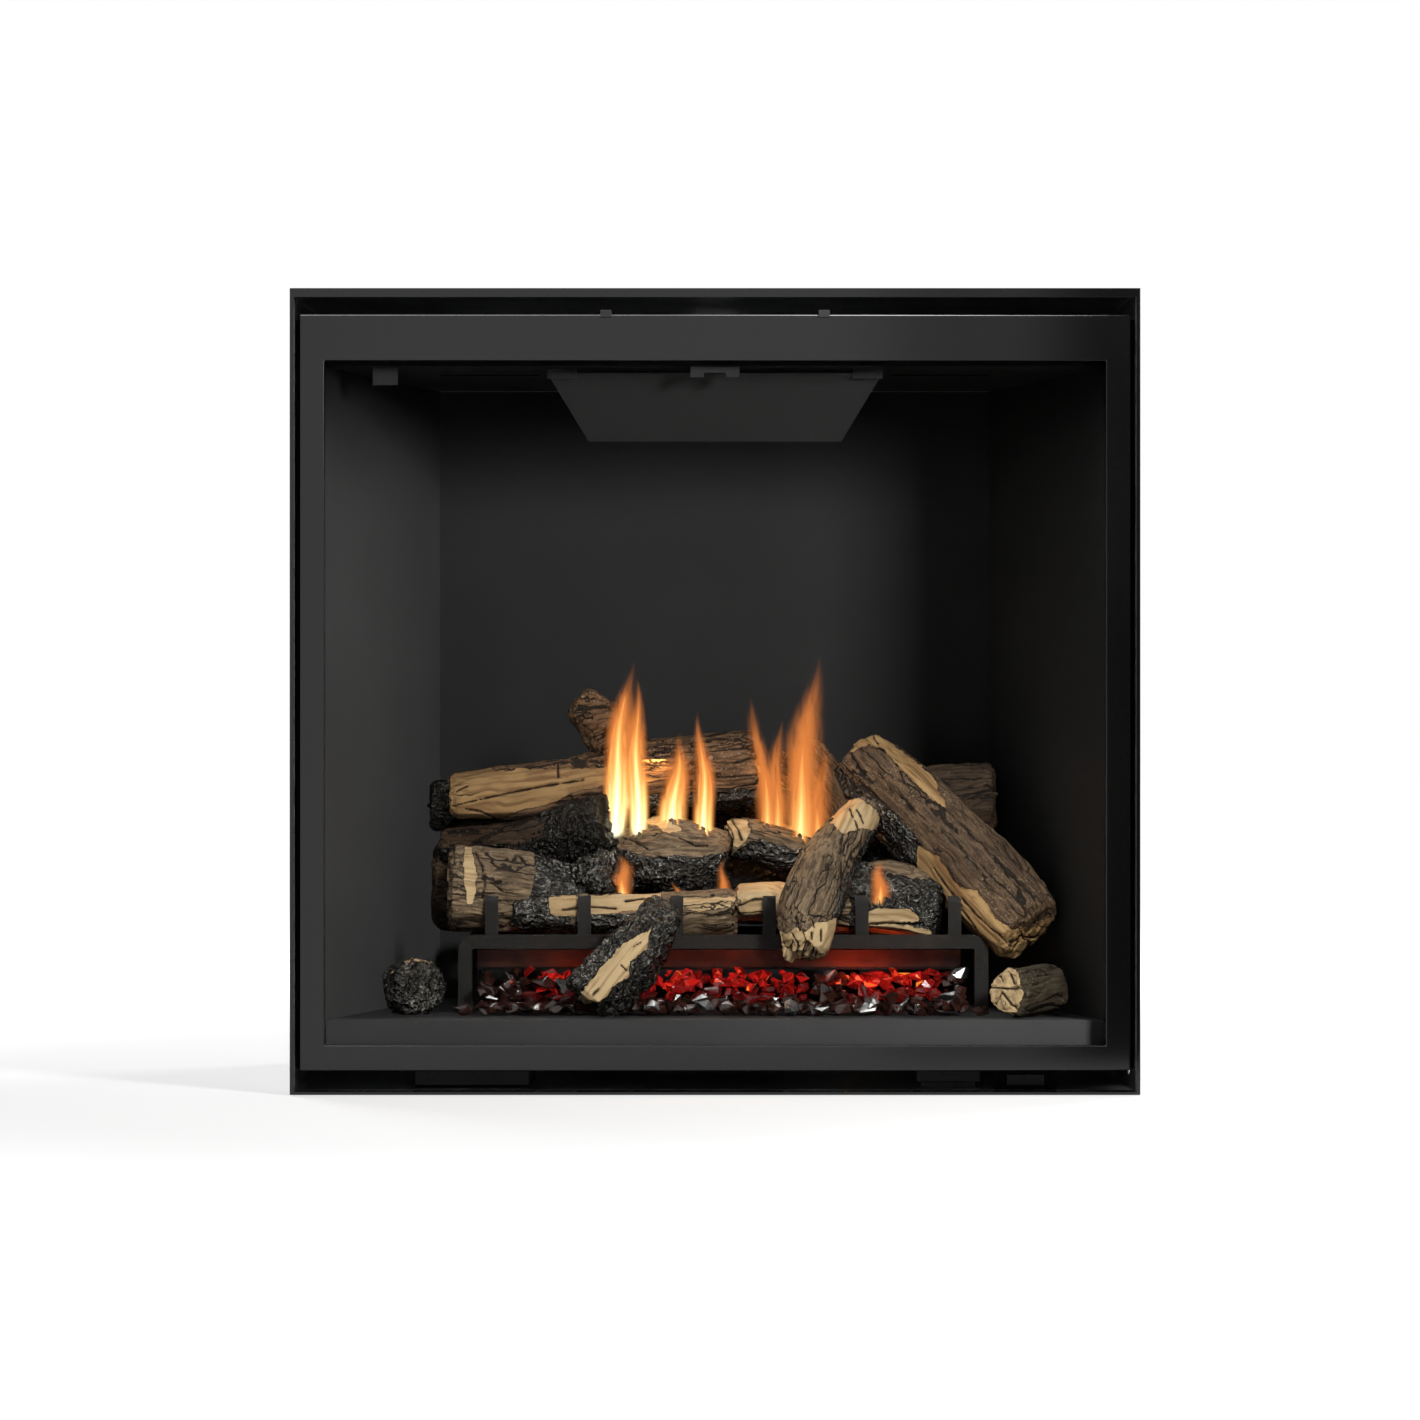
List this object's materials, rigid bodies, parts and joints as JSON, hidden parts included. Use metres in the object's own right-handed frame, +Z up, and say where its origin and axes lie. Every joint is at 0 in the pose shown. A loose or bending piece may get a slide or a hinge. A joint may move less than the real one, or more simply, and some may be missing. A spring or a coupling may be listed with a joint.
{
  "type": "gas fireplace",
  "caption": "Built-in direct vent gas fireplace with a tilting glass front, log set on a grate, glass embers, burner and rear coaxial flue.",
  "frame": {"origin": "centre of the appliance's underside, in width and in depth with the flue collars", "axes": "+Z up, +X to the right as seen from the front, glass faces -Y"},
  "size_m": [0.9144, 0.51, 0.8673],
  "materials": {
    "casing_steel": "zinc-coated sheet steel with a faint spangle",
    "satin_black": "fine satin black powder coat",
    "firebox_black": "matt black high-temperature paint",
    "grate_black": "matt black bar steel",
    "burner_steel": "heat-tinted burner steel",
    "ceramic_glass": "clear ceramic glass",
    "gasket_fibre": "woven glass-fibre tape",
    "ember_glass": "crushed glass, smoky in front and glowing red behind",
    "log_bark": "cast refractory painted as brown bark with cream split faces",
    "log_char": "cast refractory painted as black char with grey flakes",
    "brass": "plain brass",
    "cast_aluminium": "die-cast aluminium",
    "red_plastic": "red dipped plastic",
    "black_plastic": "moulded black plastic"
  },
  "bodies": {
    "firebox": {"baffle": "firebox_black", "baffle_bracket": "casing_steel", "base_pan": "casing_steel", "big_right_log": "log_bark", "blower_housing": "casing_steel", "bulkhead": "firebox_black", "burner_pan": "burner_steel", "casing_back": "casing_steel", "casing_left": "casing_steel", "casing_right": "casing_steel", "casing_top": "casing_steel", "centre_left_log": "log_char", "centre_right_log": "log_bark", "charred_block": "log_char", "charred_end_log": "log_char", "control_module": "black_plastic", "crossing_log": "log_bark", "ember_bed": "ember_glass", "exhaust_box": "casing_steel", "firebox_back": "firebox_black", "firebox_ceiling": "firebox_black", "firebox_floor": "firebox_black", "firebox_left": "firebox_black", "firebox_right": "firebox_black", "front_left_log": "log_bark", "front_right_log": "log_bark", "front_split_log": "log_bark", "gas_manifold": "brass", "gas_valve": "cast_aluminium", "hearth_ledge": "firebox_black", "inner_flue_collar": "casing_steel", "leaning_log": "log_char", "left_chunk": "log_char", "log_grate": "grate_black", "outer_flue_collar": "casing_steel", "pilot_assembly": "casing_steel", "rear_base_log": "log_bark", "rear_log": "log_bark", "right_chunk": "log_bark", "sensor_clip": "casing_steel", "shutoff_valve": "brass", "split_block": "log_bark", "split_log": "log_bark", "steep_back_log": "log_bark", "surround_frame": "satin_black", "switch_plate": "casing_steel"},
    "glass_front": {"glass_frame": "satin_black", "glass_pane": "ceramic_glass", "glass_retainer": "casing_steel", "glass_gasket": "gasket_fibre"},
    "latch_left": {"latch_left": "casing_steel"},
    "latch_right": {"latch_right": "casing_steel"},
    "valve_knob": {"valve_knob": "black_plastic"},
    "shutoff_handle": {"shutoff_handle": "red_plastic"},
    "rocker_switch": {"rocker_switch": "black_plastic"},
    "air_shutter": {"air_shutter": "brass"},
    "restrictor": {"restrictor_plate": "casing_steel"},
    "relief_flap_left": {"relief_flap_left": "firebox_black"},
    "relief_flap_right": {"relief_flap_right": "firebox_black"},
    "blower_impeller": {"blower_impeller": "cast_aluminium"}
  },
  "joints": [
    {"name": "glass_tilt", "type": "hinge", "parent": "firebox", "child": "glass_front", "pos_m": [0, -0.237, 0.028], "axis": [1, 0, 0], "range_deg": [0, 25]},
    {"name": "latch_left_lift", "type": "hinge", "parent": "firebox", "child": "latch_left", "pos_m": [-0.1174, -0.213, 0.826], "axis": [-1, 0, 0], "range_deg": [0, 15], "stiffness_Nm_per_rad": 0.05},
    {"name": "latch_right_lift", "type": "hinge", "parent": "firebox", "child": "latch_right", "pos_m": [0.1174, -0.213, 0.826], "axis": [-1, 0, 0], "range_deg": [0, 15], "stiffness_Nm_per_rad": 0.05},
    {"name": "valve_knob_turn", "type": "hinge", "parent": "firebox", "child": "valve_knob", "pos_m": [0.255, -0.1853, 0.0298], "axis": [0, -1, 0], "range_deg": [0, 180]},
    {"name": "shutoff_turn", "type": "hinge", "parent": "firebox", "child": "shutoff_handle", "pos_m": [0.365, -0.1703, 0.0298], "axis": [0, -1, 0], "range_deg": [0, 90]},
    {"name": "rocker_rock", "type": "hinge", "parent": "firebox", "child": "rocker_switch", "pos_m": [0.337, -0.20625, 0.0123], "axis": [0, 0, 1], "range_deg": [-6, 6]},
    {"name": "air_shutter_turn", "type": "hinge", "parent": "firebox", "child": "air_shutter", "pos_m": [0.15, -0.005, 0.0457], "axis": [0, 0, 1], "range_deg": [0, 60]},
    {"name": "restrictor_slide", "type": "slide", "parent": "firebox", "child": "restrictor", "axis": [1, 0, 0], "range_m": [0, 0.025]},
    {"name": "relief_flap_left_open", "type": "hinge", "parent": "firebox", "child": "relief_flap_left", "pos_m": [-0.25, -0.076, 0.7908], "axis": [-1, 0, 0], "range_deg": [0, 25]},
    {"name": "relief_flap_right_open", "type": "hinge", "parent": "firebox", "child": "relief_flap_right", "pos_m": [0.25, -0.076, 0.7908], "axis": [-1, 0, 0], "range_deg": [0, 25]},
    {"name": "blower_spin", "type": "hinge", "parent": "firebox", "child": "blower_impeller", "pos_m": [-0.04, 0.09, 0.0328], "axis": [1, 0, 0], "continuous": true}
  ]
}
